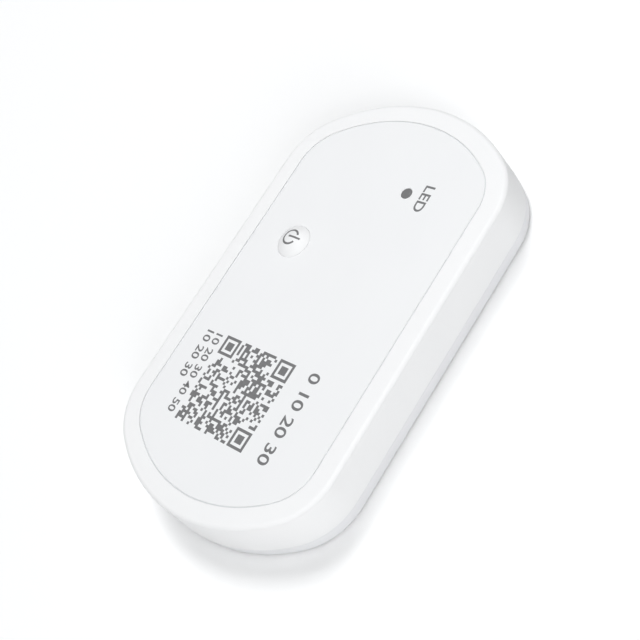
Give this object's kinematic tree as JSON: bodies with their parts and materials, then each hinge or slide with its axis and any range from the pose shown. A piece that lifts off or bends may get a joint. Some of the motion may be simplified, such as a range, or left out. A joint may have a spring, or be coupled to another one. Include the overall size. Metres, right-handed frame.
{
  "type": "temperature data logger",
  "caption": "Slim white temperature data logger with rounded ends, a printed face film, a domed power button and a status light; it rests on its flat back.",
  "frame": {"origin": "middle of the flat rear face, where the logger rests", "axes": "+X across the face, +Y along the face towards the status light, +Z out of the face"},
  "size_m": [0.045, 0.0768, 0.0102],
  "materials": {
    "shell_white": "fine satin moulded white",
    "label_film": "printed matt film",
    "key_white": "satin moulded white",
    "silicone_grey": "matt silicone",
    "smoked_clear": "smoked clear rod with a polished end",
    "board_green": "solder-masked board",
    "screw_steel": "zinc-plated",
    "cell_steel": "nickel-plated steel",
    "contact_nickel": "nickel-plated spring sheet",
    "shield_steel": "tinned steel",
    "grommet_black": "moulded seal",
    "foam_grey": "soft foam",
    "chip_black": "moulded black",
    "capacitor_tan": "ceramic with plated ends",
    "ceramic_white": "glazed ceramic",
    "led_white": "clear-topped light chip"
  },
  "bodies": {
    "case": {"front_shell": "shell_white", "rear_cover": "shell_white", "case_gasket": "silicone_grey", "front_label": "label_film", "button_membrane": "silicone_grey", "light_pipe": "smoked_clear", "circuit_board": "board_green", "case_screws": "screw_steel", "board_screws": "screw_steel", "cell_can": "cell_steel", "cell_grommet": "grommet_black", "cell_cap": "cell_steel", "cell_pad": "foam_grey", "cell_strap": "contact_nickel", "cell_side_contact": "contact_nickel", "switch_base": "chip_black", "switch_cover": "contact_nickel", "switch_dome": "contact_nickel", "radio_board": "board_green", "radio_shield": "shield_steel", "radio_processor": "chip_black", "memory_chip": "chip_black", "crystal_can": "shield_steel", "buffer_capacitor": "capacitor_tan", "chip_antenna": "ceramic_white", "status_led": "led_white", "capacitors": "capacitor_tan", "resistors": "chip_black", "temperature_sensor": "chip_black", "sensor_pad": "foam_grey"},
    "button": {"button_cap": "key_white"},
    "plunger": {"switch_plunger": "chip_black"}
  },
  "joints": [
    {"name": "button_press", "type": "slide", "parent": "case", "child": "button", "axis": [0, 0, -1], "range_m": [0, 0.00025], "stiffness_N_per_m": 1200, "deforming": ["button_membrane", "switch_dome"]},
    {"name": "plunger_press", "type": "slide", "parent": "case", "child": "plunger", "axis": [0, 0, -1], "range_m": [0, 0.00025]}
  ],
  "couplings": [
    {"joint": "plunger_press", "follows": "button_press", "ratio": 1}
  ]
}
